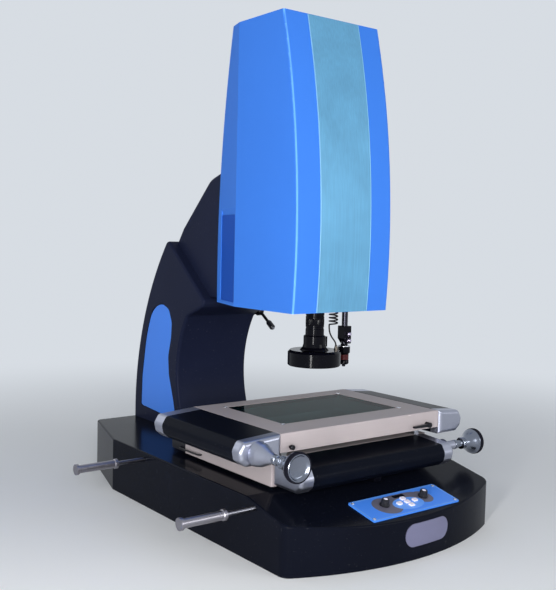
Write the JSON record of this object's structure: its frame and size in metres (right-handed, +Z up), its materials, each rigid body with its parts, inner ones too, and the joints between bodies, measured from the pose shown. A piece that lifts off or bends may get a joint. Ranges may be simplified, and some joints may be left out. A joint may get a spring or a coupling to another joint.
{
  "type": "vision measuring machine",
  "caption": "Bench vision measuring machine: lens with ring light on a tall powered head above a glass stage that travels on two axes with handwheels.",
  "frame": {"origin": "on the underside of the base, on the floor under the lens axis", "axes": "+X to the right seen from the front, +Y to the back towards the column, +Z up"},
  "size_m": [0.774, 0.9855, 1.1],
  "materials": {
    "black_gloss": "gloss",
    "column_dark": "satin",
    "cover_blue": "satin",
    "panel_blue": "satin",
    "strip_cyan": "brushed",
    "inset_blue": "satin",
    "stage_cream": "satin",
    "cap_aluminium": "polished",
    "cover_black": "satin",
    "rubber_black": "matt",
    "steel": "ground",
    "chrome": "polished",
    "black_anodised": "satin anodised",
    "black_plastic": "matt",
    "grey_plastic": "gloss",
    "white_plastic": "diffusing",
    "glass": "clear",
    "label_grey": "satin",
    "brass": "turned"
  },
  "bodies": {
    "base": {"machine_base": "black_gloss", "rubber_feet": "rubber_black", "carry_rods": "chrome", "rod_grips": "black_plastic", "bottom_light": "black_anodised", "bottom_light_glass": "glass", "power_inlet": "black_plastic", "label_plate": "label_grey", "control_panel": "inset_blue", "column": "column_dark", "side_insets": "inset_blue", "head_cover": "cover_blue", "front_strip": "strip_cyan", "rear_cover": "cover_blue", "rear_panels": "panel_blue", "z_rail_bed": "steel", "stage_bed": "black_gloss", "x_bearings_and_reader": "steel", "x_drive_nut": "black_anodised"},
    "x_stage": {"lower_plate": "stage_cream", "stage_rails_and_scales": "steel", "y_drive_nut": "black_anodised", "x_cover": "cover_black", "x_cover_caps": "cap_aluminium", "rear_box": "black_plastic"},
    "y_stage": {"top_plate": "stage_cream", "stage_glass": "glass", "y_bearings_and_reader": "steel", "y_covers": "cover_black", "y_cover_caps": "cap_aluminium"},
    "x_wheel": {"x_handwheel": "cap_aluminium", "x_wheel_rim": "rubber_black"},
    "y_wheel": {"y_handwheel": "cap_aluminium", "y_wheel_rim": "rubber_black"},
    "z_head": {"z_bearing_blocks": "steel", "z_carriage": "black_anodised", "zoom_lens": "black_anodised", "video_camera": "black_anodised", "ring_light": "black_anodised", "ring_diffuser": "white_plastic", "ring_cable": "black_plastic", "cable_coil": "black_plastic", "laser_rod": "chrome", "laser_clamp": "black_anodised", "laser_pointer": "brass"},
    "zoom": {"zoom_ring": "black_anodised"},
    "upper_screw": {"upper_thumb_screw": "chrome"},
    "lower_screw": {"lower_thumb_screw": "chrome"},
    "handle": {"star_handle": "chrome", "handle_grips": "black_plastic"},
    "lever": {"lock_lever": "chrome"},
    "small_knob": {"lock_knob": "chrome"},
    "rocker": {"rocker_switch": "black_plastic"},
    "left_knob": {"knob_left": "black_plastic"},
    "right_knob": {"knob_right": "black_plastic"},
    "middle_key": {"key_middle": "grey_plastic"},
    "left_key": {"key_left": "grey_plastic"},
    "right_key": {"key_right": "grey_plastic"},
    "front_key": {"key_front": "grey_plastic"},
    "back_key": {"key_back": "grey_plastic"}
  },
  "joints": [
    {"name": "x_travel", "type": "slide", "parent": "base", "child": "x_stage", "axis": [1, 0, 0], "range_m": [-0.15, 0.15]},
    {"name": "y_travel", "type": "slide", "parent": "x_stage", "child": "y_stage", "axis": [0, 1, 0], "range_m": [-0.08, 0.12]},
    {"name": "z_travel", "type": "slide", "parent": "base", "child": "z_head", "axis": [0, 0, 1], "range_m": [-0.07, 0.08]},
    {"name": "x_wheel_turn", "type": "hinge", "parent": "x_stage", "child": "x_wheel", "pos_m": [0.3, -0.204, 0.168], "axis": [1, 0, 0], "range_deg": [-2710, 2710]},
    {"name": "y_wheel_turn", "type": "hinge", "parent": "y_stage", "child": "y_wheel", "pos_m": [-0.288, -0.29, 0.215], "axis": [0, 1, 0], "range_deg": [-2170, 2170]},
    {"name": "handle_turn", "type": "hinge", "parent": "base", "child": "handle", "pos_m": [0.13, 0.388, 0.43], "axis": [1, 0, 0], "range_deg": [-690, 690]},
    {"name": "zoom_turn", "type": "hinge", "parent": "z_head", "child": "zoom", "pos_m": [0, 0, 0.518], "axis": [0, 0, 1], "range_deg": [-140, 140]},
    {"name": "upper_screw_turn", "type": "hinge", "parent": "z_head", "child": "upper_screw", "pos_m": [0.092, -0.014, 0.407], "axis": [0, -1, 0], "range_deg": [-360, 360]},
    {"name": "lower_screw_turn", "type": "hinge", "parent": "z_head", "child": "lower_screw", "pos_m": [0.092, -0.014, 0.392], "axis": [0, -1, 0], "range_deg": [-360, 360]},
    {"name": "lock_lever_turn", "type": "hinge", "parent": "y_stage", "child": "lever", "pos_m": [0.181, -0.18, 0.217], "axis": [0, 1, 0], "range_deg": [-20, 60]},
    {"name": "lock_knob_turn", "type": "hinge", "parent": "y_stage", "child": "small_knob", "pos_m": [-0.207, -0.18, 0.217], "axis": [0, 1, 0], "range_deg": [-360, 360]},
    {"name": "rocker_tilt", "type": "hinge", "parent": "base", "child": "rocker", "pos_m": [-0.06, 0.636, 0.062], "axis": [1, 0, 0], "range_deg": [-16, 0]},
    {"name": "left_knob_turn", "type": "hinge", "parent": "base", "child": "left_knob", "pos_m": [-0.045, -0.28273, 0.10333], "axis": [0, -0.2079, 0.9781], "range_deg": [-150, 150]},
    {"name": "right_knob_turn", "type": "hinge", "parent": "base", "child": "right_knob", "pos_m": [0.065, -0.28273, 0.10333], "axis": [0, -0.2079, 0.9781], "range_deg": [-150, 150]},
    {"name": "middle_key_press", "type": "slide", "parent": "base", "child": "middle_key", "axis": [0, -0.2079, 0.9781], "range_m": [-0.001, 0], "stiffness_N_per_m": 600, "springref_m": 0.0002},
    {"name": "left_key_press", "type": "slide", "parent": "base", "child": "left_key", "axis": [0, -0.2079, 0.9781], "range_m": [-0.001, 0], "stiffness_N_per_m": 600, "springref_m": 0.0002},
    {"name": "right_key_press", "type": "slide", "parent": "base", "child": "right_key", "axis": [0, -0.2079, 0.9781], "range_m": [-0.001, 0], "stiffness_N_per_m": 600, "springref_m": 0.0002},
    {"name": "front_key_press", "type": "slide", "parent": "base", "child": "front_key", "axis": [0, -0.2079, 0.9781], "range_m": [-0.001, 0], "stiffness_N_per_m": 600, "springref_m": 0.0002},
    {"name": "back_key_press", "type": "slide", "parent": "base", "child": "back_key", "axis": [0, -0.2079, 0.9781], "range_m": [-0.001, 0], "stiffness_N_per_m": 600, "springref_m": 0.0002}
  ],
  "couplings": [
    {"joint": "x_wheel_turn", "follows": "x_travel", "rad_per_m": 314.16},
    {"joint": "y_wheel_turn", "follows": "y_travel", "rad_per_m": 314.16},
    {"joint": "handle_turn", "follows": "z_travel", "rad_per_m": -150}
  ]
}
